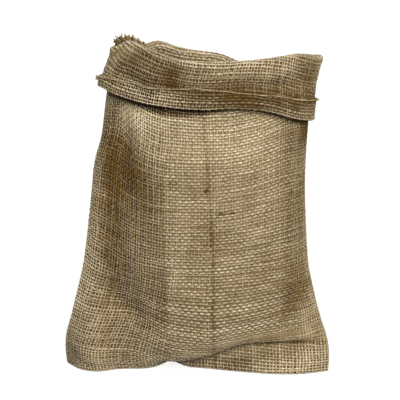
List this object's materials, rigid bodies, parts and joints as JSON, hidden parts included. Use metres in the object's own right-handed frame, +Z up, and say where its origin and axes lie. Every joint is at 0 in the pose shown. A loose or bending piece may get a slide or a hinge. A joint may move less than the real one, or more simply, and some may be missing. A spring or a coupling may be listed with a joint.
{
  "type": "burlap sack",
  "caption": "Small woven jute sack standing filled out, folded at the bottom and sewn up the sides, with its open mouth turned down outside as a hemmed cuff.",
  "frame": {"origin": "On the surface that the sack stands on, under the middle of its outline seen from above.", "axes": "+Z is up, the front of the sack faces -Y, and +X runs from its left side seam to its right one as seen from the front."},
  "size_m": [0.2092, 0.1056, 0.2582],
  "materials": {
    "woven_jute": "loosely woven undyed jute, matt and hairy, with open holes between the yarns"
  },
  "bodies": {
    "root": {"sack_cloth": "woven_jute"}
  },
  "joints": []
}
